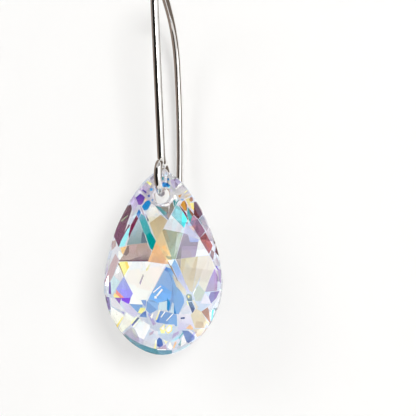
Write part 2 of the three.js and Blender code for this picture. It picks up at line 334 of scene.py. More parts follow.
    ("right maroon chip", INK_PLUM, INK_PLUM, ((213.6, 241), (215.5, 242), (214.8, 245))),
    ("right plum chip", RUSSET, RUSSET, ((216, 245.7), (218.2, 252.9), (218.9, 256.4), (215, 252))),
    ("champagne", CHAMPAGNE, LINEN, (
        (180.4, 269.8), (181.1, 258.7), (198, 256.5), (192.5, 292.5), (189.3, 290.5),
    )),
    ("straw", LINEN, LINEN, ((186, 258.5), (196, 257), (186, 284), (182.5, 275))),
    ("sand", IVORY, LINEN, ((197.9, 256.7), (210, 255.4), (196, 286), (193, 292))),
    ("right beige", IVORY, IVORY, (
        (201.2, 273), (210, 256.4), (214.3, 264.5), (214.3, 268.7), (205, 292), (198.6, 284),
    )),
    ("sage diamond", PALE_SAGE, PALE_SAGE, (
        (195.7, 288.6), (198.6, 285), (205, 292), (200.7, 301), (195.7, 301), (193.6, 294.5),
    )),
    ("right white streak", WHITE, WHITE, ((195.2, 288.2), (196, 289), (193.2, 295), (192.8, 293.5))),
    ("right edge pearl", SILVER, SILVER, ((213, 262), (217, 256), (220, 266), (215, 267))),
    ("right edge lilac", LILAC, LILAC, ((217.5, 268), (221, 270), (221, 284), (219, 280))),
    ("violet right", WISTERIA, HEATHER, (
        (205, 292), (209.3, 280), (214.6, 268.6), (217.9, 277), (217, 290.7),
    )),
    ("purple chip right", PURPLE, PURPLE, ((215.4, 266), (216.5, 265.8), (218.5, 270), (217.5, 270))),
    ("low pearl", PEARL, PEARL, ((200.5, 303.5), (205, 293), (209, 297.5), (211, 304))),
    ("violet low right", IRIS, IRIS, (
        (208.7, 297), (210.7, 292), (219.5, 291), (216.4, 298), (211, 303.5),
    )),
    # the strip to the right foot and the blue kite
    ("blue body", CORNFLOWER, CORNFLOWER, (
        (147.8, 300.5), (166, 266.4), (173, 274), (184, 298), (178.6, 314.4),
    )),
    ("blue left", SOFT_BLUE, SOFT_BLUE, ((147.8, 300.5), (166, 266.4), (172.5, 283), (171, 300))),
    ("blue right", CORNFLOWER, CORNFLOWER, (
        (172, 275), (184, 298), (184.3, 302.3), (178.6, 314.4), (176, 313.7), (173.9, 303.7),
    )),
    ("blue deep", DEEP_BLUE, CORNFLOWER, (
        (164.3, 270), (166.4, 267.1), (171.4, 268.6), (173.6, 273.8), (170, 273.6),
    )),
    ("blue bright", BRIGHT_BLUE, BRIGHT_BLUE, (
        (149, 298), (153, 290), (161, 284), (172, 292), (170, 299), (158, 303),
    )),
    ("blue azure", SOFT_BLUE, SOFT_BLUE, ((147.5, 301), (158, 303), (158, 310), (149, 309))),
    ("blue slash", WHITE, WHITE, ((152.9, 292), (160.7, 285.5), (161.2, 286.5), (153.5, 293))),
    ("blue second slash", WHITE, WHITE, ((156, 295.5), (161.5, 288.8), (163, 289.8), (157.5, 296.5))),
    ("blue spot", WHITE, WHITE, ((154.4, 296), (156.8, 296), (156.8, 298.5), (154.4, 298.5))),
    ("blue ice", ICE, ICE, ((158.8, 302.5), (167.1, 301), (167.1, 310), (158.6, 310))),
    ("blue sliver", AZURE, AZURE, ((167.1, 298), (170.4, 302.5), (168.6, 312), (166.9, 309.5))),
    ("blue ice right", MIST, ICE, ((170, 311.9), (172.1, 302.3), (173.9, 303.7), (173.9, 313.7))),
    ("blue azure right", AZURE, BLUE, ((173.9, 304.4), (176.6, 314.6), (173.9, 313.7))),
    ("periwinkle strip", PERIWINKLE, LAVENDER, (
        (171.8, 265.7), (174.6, 259.3), (178, 265), (190, 293.5), (185.7, 289.3), (178.6, 281.4),
    )),
    ("periwinkle strip top", CORNFLOWER, PERIWINKLE, (
        (171.8, 265.7), (174.6, 259.3), (178, 265), (181, 272.5), (178, 278),
    )),
    ("beige strip", DUNE, IVORY, (
        (172.1, 275), (178.6, 281), (185.5, 289.5), (186.5, 296), (183.6, 294.3), (176.4, 286.4),
    )),
    ("coral line", ROSEWOOD, DUSK, ((167.3, 261.5), (169.8, 262.5), (178.2, 281), (177.4, 281))),
    ("white chip", WHITE, WHITE, ((167.7, 260.2), (173.8, 260), (171.9, 264.5), (170.4, 265.8))),
    # the white kite
    ("white kite", WHITE, WHITE, (
        (119, 262), (148, 261.6), (166, 264.2), (147.7, 300.3), (143, 304.5), (129.3, 303.7),
    )),
    ("gold corner", BUTTER, BUTTER, (
        (118.9, 264.5), (120, 261.8), (127, 261.4), (129.3, 267), (124.3, 275.8),
    )),
    ("gold inner", GOLD, GOLD, ((125, 262), (127.5, 262), (129.2, 267), (127, 270))),
    ("straw edge", CREAM, BUTTER, ((145.7, 270), (148.5, 264.6), (151, 264.6), (147, 271))),
    ("grey sliver", SILVER, LILAC, ((139.3, 283), (142.9, 274), (143.8, 275.5), (140.4, 285))),
    ("brown edge line", UMBER, UMBER, ((117.8, 263.5), (119, 263), (124.6, 277.2), (123.6, 277))),
    # low on the left
    ("left rosy band", ROSE, ROSE, (
        (104.3, 282), (110, 265), (115.4, 253.6), (118.9, 260), (113.6, 275), (109.6, 282), (106.4, 285),
    )),
    ("left edge rose", MAUVE, ROSE, ((112, 241), (116, 240), (116, 246), (111, 251))),
    ("left edge silver", PALE_GREY, SILVER, ((106, 261), (111, 258), (109, 270), (103.5, 277))),
    ("left pale kite", SNOW, PEARL, ((113.6, 275.7), (118.9, 265), (123.6, 276), (120, 281.4))),
    ("left ice", ICE, ICE, (
        (110.7, 281.5), (113.6, 275.7), (120, 281.4), (116, 288.6), (112.5, 294.3), (110.7, 293),
    )),
    ("left purple edge", IRIS, PURPLE, ((108.9, 282.5), (110.7, 282), (111, 294.3), (108.9, 293.6))),
    ("violet kite", PERIWINKLE, VIOLET, (
        (116, 289.3), (123.9, 276.4), (132.9, 293.6), (130.7, 297.9), (124.3, 297.9),
    )),
    ("violet kite deep", VIOLET, VIOLET, (
        (120, 289), (131, 290), (132.9, 293.6), (130.7, 297.9), (124.3, 297.9),
    )),
    ("coral glint", CORAL, CORAL, ((116, 289.6), (124.3, 297.9), (116, 297.8))),
    ("butter glint", APRICOT, BUTTER, ((113.2, 295.4), (115, 292.5), (120, 297.8), (114.3, 297.5))),
    ("deep violet left", ORCHID, ORCHID, ((114.6, 297.6), (121.5, 297.8), (119.5, 303.8))),
    ("deep violet", BRIGHT_VIOLET, BRIGHT_VIOLET, (
        (121.5, 297.8), (130.7, 297.8), (129.3, 303.7), (127, 303.7), (121.5, 300.5),
    )),
    ("left low pearl", PEARL, PEARL, (
        (110.5, 298), (114.6, 297.8), (119.5, 304), (124, 309), (122, 311), (111.5, 306),
    )),
    ("left violet edge", IRIS, IRIS, ((105.7, 296.6), (109.3, 297.3), (110.7, 309.4), (108, 310))),
    ("left mint edge", PALE_SAGE, PALE_SAGE, ((108.2, 311), (110, 311), (109.8, 318))),
    ("lilac band", LAVENDER, LAVENDER, (
        (120.7, 300), (128.6, 304), (138.6, 313.7), (135, 317.3), (125.7, 311.6),
    )),
    ("blue foot", CORNFLOWER, CORNFLOWER, ((129.3, 303.9), (142.9, 304.8), (142, 308), (138.6, 313.5))),
    ("blue tab", CORNFLOWER, PERIWINKLE, ((141, 300), (146.3, 300), (145.7, 307), (142.9, 304.4))),
    ("steel block", CORNFLOWER, CORNFLOWER, ((147, 301), (157, 310), (150, 314), (146, 310))),
    ("butter crumb", BUTTER, BUTTER, (
        (137.9, 312.6), (140.4, 307.6), (145, 308), (145.4, 309.8), (141.4, 313.7),
    )),
    ("navy crumb", NAVY, CORNFLOWER, ((139.3, 316.6), (142.1, 313), (146, 310.9), (146.8, 317.6))),
    # the bottom left
    ("white foot", WHITE, CREAM, ((110.4, 318), (111, 306.6), (123.6, 315), (123.6, 317.3), (117.1, 328))),
    ("butter foot edge", BUTTER, GOLD, ((121.8, 317.5), (123.8, 316.5), (117.2, 328.2), (115.4, 327))),
    ("cream kite", SNOW, CREAM, (
        (118, 329.5), (123.5, 317.5), (126.4, 312.3), (134, 318.3), (130, 325), (122, 332.5),
    )),
    ("periwinkle chip", PERIWINKLE, LILAC, ((120.7, 311.2), (124.6, 312), (124, 314.6))),
    ("butter slip", CREAM, BUTTER, ((130.7, 323), (135.7, 316.6), (137.2, 317.4), (131.5, 324.5))),
    ("navy stripe", SLATE, NAVY, ((131.5, 324.6), (137.5, 317.5), (139.6, 317.8), (132.3, 326.2))),
    ("cream line", CREAM, CREAM, ((132.5, 326.5), (140, 318.5), (140.8, 319.5), (134, 327.6))),
    ("mint kite", SNOW, WHITE, (
        (134.3, 328), (140.7, 320), (150, 325), (150, 327.3), (143.9, 339.4), (138.9, 337.3),
    )),
    ("grey foot", SILVER, LILAC, (
        (122.1, 335), (131.4, 327.3), (134.3, 328.7), (138.9, 337.3), (138.6, 346), (128.6, 341),
    )),
    ("sage foot", PALE_SAGE, SILVER, ((131.4, 328), (134.3, 328.7), (138, 337), (135, 338))),
    ("foot mist", LAVENDER, SILVER, ((138.9, 338), (143.9, 340), (142, 349), (138.7, 346))),
    ("foot ice", MIST, PEARL, ((144, 340), (150, 329), (156, 336), (154, 349), (146, 348))),
    ("pink chip", LILAC, ROSE, ((149.3, 333), (154, 330.5), (153, 334), (149.5, 335.5))),
    ("lilac column", PERIWINKLE, LILAC, ((147.5, 313.7), (150, 313), (156, 324), (153, 325.5))),
    # the bottom centre
    ("steel bar", CORNFLOWER, CORNFLOWER, (
        (156.4, 322.3), (161, 310.9), (171, 313), (176.8, 315), (177.1, 324.4), (167.9, 324.4),
    )),
    ("blue bar left", CORNFLOWER, DEEP_BLUE, ((155.6, 321), (160.3, 311), (162, 311.2), (158.5, 323))),
    ("blue bar right", CORNFLOWER, CORNFLOWER, (
        (173.5, 316), (176.8, 315), (177.1, 326), (175.5, 326.5), (172.5, 322),
    )),
    ("cream slash", CREAM, BUTTER, ((155.5, 319.8), (159, 310), (160.5, 310.3), (156.8, 320.3))),
    ("cream second slash", WHITE, CREAM, ((160.5, 317), (164.6, 311.4), (165.4, 311.9), (161.4, 317.6))),
    ("cream third slash", WHITE, CREAM, ((166.2, 320.6), (172.3, 313.8), (172.9, 314.4), (166.8, 321.2))),
    ("white triangle", WHITE, CREAM, ((150, 316.8), (153.5, 312.5), (152, 319))),
    ("eye frame", MIST, ICE, ((157, 326), (176, 326), (173, 335), (158, 334))),
    ("left eye rim", BUTTER, BUTTER, ((159.5, 328.5), (164.6, 324), (164.8, 333.2), (161.2, 333.4))),
    ("left eye", WHITE, WHITE, ((160.6, 328.7), (163.8, 325.6), (163.8, 330))),
    ("right eye rim", BUTTER, GOLD, ((164.8, 330), (169, 324.8), (172.2, 325.6), (171.8, 331), (168, 334))),
    ("right eye", WHITE, WHITE, ((166, 330), (169.3, 326), (171, 327), (170.6, 330.6), (168, 332.4))),
    ("low mist", MIST, MIST, ((157.5, 334), (172, 334), (171, 339), (163, 340))),
    ("low navy", NAVY, NAVY, (
        (157, 340), (159.3, 337.3), (161.8, 339.4), (163.2, 345), (160.4, 348), (157, 346),
    )),
    ("apricot triangle", CREAM, BUTTER, ((162.9, 339.4), (167.9, 341.6), (165.7, 344))),
    ("pink base", LILAC, ROSE, ((157, 348.2), (166, 344.5), (167, 349.5), (157, 350.3))),
    ("butter base line", CREAM, BUTTER, ((153.8, 350), (155.4, 340), (156.8, 340), (155.9, 350.2))),
    ("cream leaf", CREAM, WHITE, ((167.5, 347.3), (170, 341.6), (172.9, 347.3), (170.4, 349.5))),
    ("low violet", LILAC, LILAC, ((172, 338.7), (172.9, 333.7), (179.3, 330.9), (178.5, 334))),
    ("low white stripe", MIST, ICE, ((170.5, 341), (177, 334.6), (178, 335.6), (171.5, 342))),
    ("low sky stripe", MIST, SKY, ((172, 342), (178, 335.6), (181, 334), (178, 339))),
    ("low teal stripe", TEAL_MIST, AQUA_GREY, ((178.5, 338), (183.4, 331.4), (184.2, 332.3), (179.5, 339))),
    ("low orange", PEACH, APRICOT, ((172.9, 347.5), (175, 341.6), (176.8, 342.3), (174, 348.8))),
    ("low mint", SNOW, WHITE, ((180.7, 346.6), (181.4, 338), (185.7, 333.7), (186.5, 343))),
    ("low teal shade", AQUA_GREY, FOG, ((178, 345), (181.5, 339), (180.5, 346))),
    ("low navy right", STEEL, STEEL, (
        (182, 330.5), (188.6, 330.9), (195, 336.6), (194.3, 339.4), (188.6, 343), (186.6, 342.3),
    )),
    # the bottom right
    ("pearl field", PEARL, LAVENDER, ((179, 314.5), (190.5, 313.5), (194, 327), (178, 331))),
    ("coral chip", PEACH, PEACH, ((185.7, 328.4), (190, 324.4), (192.9, 327.3), (192.9, 330))),
    ("slate arrow", SAGE, SLATE, (
        (185.8, 296), (187.5, 294), (191.5, 294.5), (192.5, 301), (187.9, 301.5),
    )),
    ("slate arrow foot", SLATE, INK, ((187.9, 302.3), (191.8, 301.6), (195, 308.7), (192.5, 313.7))),
    ("butter spot", BUTTER, GOLD, ((187.4, 296), (188.8, 295.3), (189.8, 296.8), (188.5, 298.2))),
    ("butter needle", BUTTER, BUTTER, ((186.3, 300.9), (187.5, 300.9), (189, 306), (187.4, 304.5))),
    ("cream spear", IVORY, LINEN, ((192, 300), (194, 300), (198.5, 307.5), (196, 309))),
    ("dark dash", INK, INK, ((180.4, 317.6), (184.6, 317), (185, 318.8), (180.8, 319.2))),
    ("dune", LINEN, LINEN, (
        (190.7, 315), (196, 308.5), (201.5, 311.5), (207, 321), (204.5, 328), (195, 328),
    )),
    ("dune shade", DUNE, DUNE, ((196, 321), (203, 322), (204, 328), (195, 328))),
    ("rose brown", CLAY, CLAY, ((201.4, 311.6), (207.5, 307.3), (208.9, 310), (210.3, 323.3))),
    ("butter chip right", BUTTER, CREAM, ((205.5, 322), (208, 321.5), (209.3, 323.8), (207.8, 326))),
    ("low beige", IVORY, DUNE, ((193, 329), (205, 328.5), (200.5, 335.5), (197, 337))),
    ("low tan", DUNE, MAUVE, ((200.5, 336), (206, 328), (208, 328), (202, 336))),
    ("grey chip right", FOG, FOG, ((213, 308), (217.5, 308), (215.5, 311))),
    ("aqua rim", AQUA, SKY, ((211, 321), (212, 310), (214, 309.5), (212.5, 320))),
    # the rim round the bottom
    ("white rim one", WHITE, WHITE, ((211.4, 322), (216.8, 309.5), (218.6, 310.5), (213.4, 323.5))),
    ("white rim two", WHITE, WHITE, ((206, 330.5), (211.4, 322), (213.4, 323.5), (207.5, 333))),
    ("white rim three", PEARL, PALE_GREY, ((200, 338.7), (206, 330.5), (207.5, 333), (201.5, 340.5))),
    ("lavender rim", PALE_GREY, SILVER, ((190, 343.5), (199, 337.5), (201.5, 340.5), (191, 346))),
    ("ice rim", ICE, ICE, ((173, 351), (190, 343.5), (191, 346), (174, 353.5))),
    ("teal rim one", FOG, TEAL_GREY, ((122, 336), (125.5, 334), (132.5, 339.7), (130.7, 346.5))),
    ("teal rim two", FOG, TEAL_GREY, ((132.2, 339.2), (141, 344.3), (140, 353), (130, 346.5))),
    ("teal rim three", TEAL_GREY, TEAL_GREY, ((140.8, 344.1), (151, 347.8), (150, 357), (139.5, 353))),
    ("teal rim four", TEAL_GREY, TEAL_GREY, ((150.8, 347.8), (160, 349.8), (160, 358), (149.5, 357))),
    ("teal rim five", TEAL_GREY, TEAL_GREY, ((159.5, 349.8), (172, 350.2), (172, 358), (159.5, 358))),
    ("white rim line", WHITE, WHITE, ((157, 349), (166, 349.2), (166, 350.3), (157, 350.1))),
    # in and round the hole: painted shade and glints
    ("hole shade", SMOKE, SMOKE, ((156.5, 195), (162, 194.5), (162, 203), (157.5, 201.5))),
    ("hole amber", UMBER, TAN, ((164, 188), (169, 189.5), (170, 195), (166, 200), (163.5, 199))),
    ("hole glint", WHITE, WHITE, ((164.5, 190.5), (166.5, 190.5), (166, 194.5), (164.8, 194.5))),
    ("hole line", SMOKE, SMOKE, ((153.5, 193), (154.5, 193), (157, 203.5), (156, 203.5))),
    ("hole foot line", ASH, SILVER, ((157, 205.3), (168, 205.3), (168, 206.6), (158, 206.6))),
    ("ring white one", WHITE, WHITE, ((161, 204.9), (165, 204.2), (165.5, 206.3), (162, 206))),
    ("ring white two", WHITE, WHITE, ((165, 204.2), (168.3, 203), (170, 205), (165.5, 206.3))),
    ("ring white three", WHITE, SILVER, ((168.3, 203), (172.3, 197.7), (174, 199.5), (170, 205))),
)


def pixel_ray(pixel, view):
    """The direction in which the camera sees a pixel of the picture."""
    across = (pixel[0] - PICTURE_SIZE / 2) / (PIXELS_PER_METRE * VIEW_DISTANCE)
    down = (pixel[1] - PICTURE_SIZE / 2) / (PIXELS_PER_METRE * VIEW_DISTANCE)
    return view["forward"] + view["right"] * across - view["up"] * down


def find_view():
    """Where the camera stands and how it is turned."""
    flat = math.cos(VIEW_ELEVATION)
    back = Vector((
        math.sin(VIEW_AZIMUTH) * flat,
        -math.cos(VIEW_AZIMUTH) * flat,
        math.sin(VIEW_ELEVATION),
    ))
    level = (-back).cross(Vector((0, 0, 1))).normalized()
    upright = level.cross(-back)
    view = {
        "forward": -back,
        "right": level * math.cos(VIEW_ROLL) - upright * math.sin(VIEW_ROLL),
        "up": upright * math.cos(VIEW_ROLL) + level * math.sin(VIEW_ROLL),
    }
    view["place"] = crystal_middle - pixel_ray(CRYSTAL_MIDDLE_PIXEL, view) * VIEW_DISTANCE
    return view


def make_camera(view):
    """A camera whose lens gives PIXELS_PER_METRE at the crystal's middle"""
    data = bpy.data.cameras.new("camera")
    data.sensor_width = SENSOR_WIDTH
    data.lens = SENSOR_WIDTH * VIEW_DISTANCE * PIXELS_PER_METRE / PICTURE_SIZE
    data.clip_start = NEAREST_SEEN
    data.clip_end = FARTHEST_SEEN
    camera = bpy.data.objects.new("camera", data)
    axes = Matrix((view["right"], view["up"], -view["forward"])).transposed()
    camera.matrix_world = Matrix.Translation(view["place"]) @ axes.to_4x4()
    bpy.context.scene.collection.objects.link(camera)
    bpy.context.scene.camera = camera


def add_object(name, mesh):
    piece = bpy.data.objects.new(name, mesh)
    bpy.context.scene.collection.objects.link(piece)
    return piece


def new_material(name):
    material = bpy.data.materials.new(name)
    material.use_nodes = True
    return material, material.node_tree.nodes, material.node_tree.links


# The ear wire: its route lies in the plane x = 0, as turns and straight runs
def wire_route():
    """Points down the wire from the free end of its loop, each with its heading from +Y in degrees"""
    span = LOOP_RADIUS + NECK_RADIUS
    join = math.asin(NECK_RADIUS / span)
    end_reach = NECK_RADIUS + WIRE_THICKNESS + FREE_END_GAP
    cosine = (LOOP_RADIUS ** 2 + span ** 2 - end_reach ** 2) / (2 * LOOP_RADIUS * span)
    free = math.acos(cosine) - join
    start = math.radians(90 + LEG_LEAN) + free
    loop_middle = swing + Vector((0, 0, LOOP_RADIUS))
    at = loop_middle + LOOP_RADIUS * Vector((0, math.cos(start), math.sin(start)))
    heading = math.degrees(start) + 90
    runs = (
        (0, LOOP_RADIUS, 360 - math.degrees(free + join)),
        (0, NECK_RADIUS, math.degrees(join) - 90),
        (FRONT_LEG, 0, 0),
        (0, TOP_RADIUS, -TOP_TURN),
        (BACK_STRAIGHT, 0, 0),
        (0, BACK_RADIUS, -BACK_TURN),
        (0, TAIL_RADIUS, -TAIL_TURN),
    )
    route = [(at, heading)]
    for length, radius, turn in runs:
        steps = max(1, round(abs(turn) / BEND_STEP))
        for step in range(steps):
            bend = turn / steps
            stride = length if turn == 0 else 2 * radius * math.sin(math.radians(abs(bend) / 2))
            way = math.radians(heading + bend / 2)
            at = at + stride * Vector((0, math.cos(way), math.sin(way)))
            heading += bend
            route.append((at, heading))
    return route


def wire_rings():
    """(middle, heading, radius) of each ring, with both ends rounded"""
    route = wire_route()
    rings = []
    for (at, heading), sign in ((route[0], -1), (route[-1], 1)):
        way = sign * Vector((0, math.cos(math.radians(heading)), math.sin(math.radians(heading))))
        cap = []
        for step in range(1, BALL_RINGS + 1):
            angle = math.radians(90 * step / BALL_RINGS * LAST_BALL_RING)
            cap.append((at + way * WIRE_RADIUS * math.sin(angle), heading, WIRE_RADIUS * math.cos(angle)))
        rings.append(cap)
    body = [(at, heading, WIRE_RADIUS) for at, heading in route]
    return rings[0][::-1] + body + rings[1]


def make_wire():
    bm = bmesh.new()
    loops = []
    for middle, heading, radius in wire_rings():
        side = Vector((0, -math.sin(math.radians(heading)), math.cos(math.radians(heading))))
        loop = []
        for index in range(WIRE_SIDES):
            angle = 2 * math.pi * index / WIRE_SIDES
            spoke = Vector((1, 0, 0)) * math.cos(angle) + side * math.sin(angle)
            loop.append(bm.verts.new(middle + spoke * radius))
        loops.append(loop)
    for near, far in zip(loops, loops[1:]):
        for index in range(WIRE_SIDES):
            after = (index + 1) % WIRE_SIDES
            bm.faces.new((near[index], near[after], far[after], far[index]))
    bm.faces.new(loops[0][::-1])
    bm.faces.new(loops[-1])
    bmesh.ops.recalc_face_normals(bm, faces=bm.faces)
    for face in bm.faces:
        face.smooth = True
    mesh = bpy.data.meshes.new("ear_wire_polished")
    bm.to_mesh(mesh)
    bm.free()
    return add_object("ear_wire_polished", mesh)


# The silver's uneven polish: how fine it is in each metre, and how strong and how high its bumps are
SILVER_GRAIN = 900
SILVER_GRAIN_DETAIL = 3
SILVER_BUMP = 0.05
SILVER_BUMP_HEIGHT = 0.02 * MM
SILVER_SMOOTHEST = 0.03
SILVER_ROUGHEST = 0.10
SILVER_WARM = (0.90, 0.88, 0.85, 1)
SILVER_BRIGHT = (0.97, 0.96, 0.95, 1)


def silver_material():
    material, nodes, links = new_material("polished silver")
    shader = nodes["Principled BSDF"]
    shader.inputs["Metallic"].default_value = 1
    place = nodes.new("ShaderNodeTexCoord")
    noise = nodes.new("ShaderNodeTexNoise")
    noise.inputs["Scale"].default_value = SILVER_GRAIN
    noise.inputs["Detail"].default_value = SILVER_GRAIN_DETAIL
    bump = nodes.new("ShaderNodeBump")
    bump.inputs["Strength"].default_value = SILVER_BUMP
    bump.inputs["Distance"].default_value = SILVER_BUMP_HEIGHT
    links.new(place.outputs["Object"], noise.inputs["Vector"])
    links.new(noise.outputs["Fac"], bump.inputs["Height"])
    links.new(bump.outputs["Normal"], shader.inputs["Normal"])
    rough = nodes.new("ShaderNodeMapRange")
    rough.inputs["To Min"].default_value = SILVER_SMOOTHEST
    rough.inputs["To Max"].default_value = SILVER_ROUGHEST
    links.new(noise.outputs["Fac"], rough.inputs["Value"])
    links.new(rough.outputs["Result"], shader.inputs["Roughness"])
    tone = nodes.new("ShaderNodeValToRGB")
    tone.color_ramp.elements[0].color = SILVER_WARM
    tone.color_ramp.elements[1].color = SILVER_BRIGHT
    links.new(noise.outputs["Fac"], tone.inputs["Fac"])
    links.new(tone.outputs["Color"], shader.inputs["Base Color"])
    return material


# The crystal: the CAD facets, with patches of the coating's colour and of painted reflections, highlights
# and shade cut into them.
# Faces that meet at less than FACET_ANGLE are one facet, and edges sharper than EDGE_ANGLE are ground.
FACET_ANGLE = math.radians(0.4)
EDGE_ANGLE = math.radians(4)
EDGE_WIDTH = 0.02 * MM
SAME_POINT = 0.0001 * MM
CUT_ACCURACY = 0.00001 * MM
LEAST_HEIGHT = 1e-9
TINT = "tint"

# A face looks back or sideways when its normal has more than this share along Y or across X
BACK_FACING = 0.15
SIDE_FACING = 0.9

# The drilled hole: its middle lies this far below the crystal's tip, and its wall within this reach
HOLE_BELOW_TIP = 3.09 * MM
HOLE_REACH = 1.12 * MM

# What reaches the eye from a coated facet: a share that the surface mirrors, a share of the light
# through the glass and a share of painted glow, light that the facet gives off in its own tint though it is
# no lamp
MIRROR_SHARE = 0.03
GLASS_SHARE = 0.84
PAINTED_GLOW_SHARE = 0.24
SCREEN_GAMMA = 2.2


def glass_tint(colour):
    """The glass colour that makes a facet look like a screen colour. Glass tints by its root."""
    tint = []
    for value in colour:
        wanted = max(0, (value / 255) ** SCREEN_GAMMA - MIRROR_SHARE)
        root = math.sqrt(GLASS_SHARE ** 2 + 4 * PAINTED_GLOW_SHARE * wanted)
        tint.append(min(1, ((root - GLASS_SHARE) / (2 * PAINTED_GLOW_SHARE)) ** 2))
    return tint


def blend_tints(first, second, share):
    mixed = [a + (b - a) * share for a, b in zip(first, second)]
    return glass_tint(mixed) + [1]


def tint_faces(faces, layer, first, second):
    """Colours faces from the first tint at their top to the second at their bottom."""
    heights = [vert.co.z for face in faces for vert in face.verts]
    low, high = min(heights), max(heights)
    for face in faces:
        for loop in face.loops:
            loop[layer] = blend_tints(first, second, (high - loop.vert.co.z) / (high - low + LEAST_HEIGHT))


def patch_planes(rays):
    """The planes through the camera and a patch's edges, as normals that point out of the patch"""
    inward = sum(rays, Vector())
    planes = []
    for start, end in zip(rays, rays[1:] + rays[:1]):
        outward = start.cross(end).normalized()
        if outward.dot(inward) > 0:
            outward.negate()
        planes.append(outward)
    return planes


def touches(face, place, planes):
    """Whether the camera sees a face in front of a patch, at least in part"""
    points = [vert.co - place for vert in face.verts]
    if face.normal.dot(points[0]) >= 0:
        return False
    return not any(all(plane.dot(point) > 0 for point in points) for plane in planes)


def cut_patch(bm, corners, view):
    """Cuts the faces that the camera sees along a patch's edges and gives those inside."""
    place = view["place"]
    planes = patch_planes([pixel_ray(corner, view) for corner in corners])
    inside = [face for face in bm.faces if touches(face, place, planes)]
    for plane in planes:
        geometry = list({part for face in inside for part in (face, *face.edges, *face.verts)})
        cut = bmesh.ops.bisect_plane(bm, geom=geometry, dist=CUT_ACCURACY, plane_co=place, plane_no=plane)
        faces = [part for part in cut["geom"] if isinstance(part, bmesh.types.BMFace)]
        inside = [face for face in faces if plane.dot(face.calc_center_median() - place) < 0]
    return inside


def resting_tint(face):
    """The coating's tint where no patch lies. The hole's wall gets painted shade, which makes the hole look
    deeper.
    """
    normal, middle = face.normal, face.calc_center_median()
    from_hole = math.hypot(middle.x, middle.z - crystal_high.z + HOLE_BELOW_TIP)
    if from_hole < HOLE_REACH and abs(normal.y) < BACK_FACING:
        return SMOKE, ASH
    if normal.y > BACK_FACING:
        return WHITE, WHITE
    if abs(normal.x) > SIDE_FACING:
        return WHITE, PEARL
    return PEARL, MIST


def make_crystal(view):
    bm = bmesh.new()
    bm.from_mesh(frame["nodes"]["crystal_drop"].data)
    bmesh.ops.remove_doubles(bm, verts=bm.verts, dist=SAME_POINT)
    bmesh.ops.dissolve_limit(bm, angle_limit=FACET_ANGLE, verts=bm.verts, edges=bm.edges)
    bm.normal_update()
    layer = bm.loops.layers.float_color.new(TINT)
    for face in bm.faces:
        face.smooth = False
        face.material_index = int(face.normal.y > BACK_FACING)
        tint_faces([face], layer, *resting_tint(face))
    # painted reflections, highlights and shade, cut into the faces that the camera sees
    for _name, first, second, corners in PATCHES:
        faces = cut_patch(bm, corners, view)
        if faces:
            tint_faces(faces, layer, first, second)
    mesh = bpy.data.meshes.new("crystal_drop_coated_with_painted_reflections")
    bm.to_mesh(mesh)
    bm.free()
    piece = add_object("crystal_drop_coated_with_painted_reflections", mesh)
    edges = piece.modifiers.new("ground edges", "BEVEL")
    edges.width = EDGE_WIDTH
    edges.limit_method = "ANGLE"
    edges.angle_limit = EDGE_ANGLE
    edges.segments = 1
    edges.harden_normals = False
    return piece


GLASS_IOR = 1.55
FILM_IOR = 1.75
FACE_MIRROR = 0.0
BACK_MIRROR = 0.15

# The coating's thickness, in nanometres, and how fast it changes over the crystal, in each metre
FILM_THINNEST = 290
FILM_THICKEST = 390
FILM_SCALE = 160


def crystal_material(name, mirror):
    """Clear glass with the tints of the coating and of the painted reflections, and a painted glow in the
    same tint. mirror is the share of the coating that mirrors.
    """
    material, nodes, links = new_material(name)
    shader = nodes["Principled BSDF"]
    shader.inputs["Roughness"].default_value = 0.0
    shader.inputs["IOR"].default_value = GLASS_IOR
    shader.inputs["Transmission Weight"].default_value = 1.0
    shader.inputs["Metallic"].default_value = mirror
    shader.inputs["Thin Film IOR"].default_value = FILM_IOR
    film = nodes.new("ShaderNodeTexNoise")
    film.inputs["Scale"].default_value = FILM_SCALE
    thickness = nodes.new("ShaderNodeMapRange")
    thickness.inputs["To Min"].default_value = FILM_THINNEST
    thickness.inputs["To Max"].default_value = FILM_THICKEST
    place = nodes.new("ShaderNodeTexCoord")
    links.new(place.outputs["Object"], film.inputs["Vector"])
    links.new(film.outputs["Fac"], thickness.inputs["Value"])
    links.new(thickness.outputs["Result"], shader.inputs["Thin Film Thickness"])
    tint = nodes.new("ShaderNodeAttribute")
    tint.attribute_name = TINT
    links.new(tint.outputs["Color"], shader.inputs["Base Color"])
    # painted glow: the facets give off light in their own tint, though they are no lamp
    links.new(tint.outputs["Color"], shader.inputs["Emission Color"])
    shader.inputs["Emission Strength"].default_value = PAINTED_GLOW_SHARE
    return material


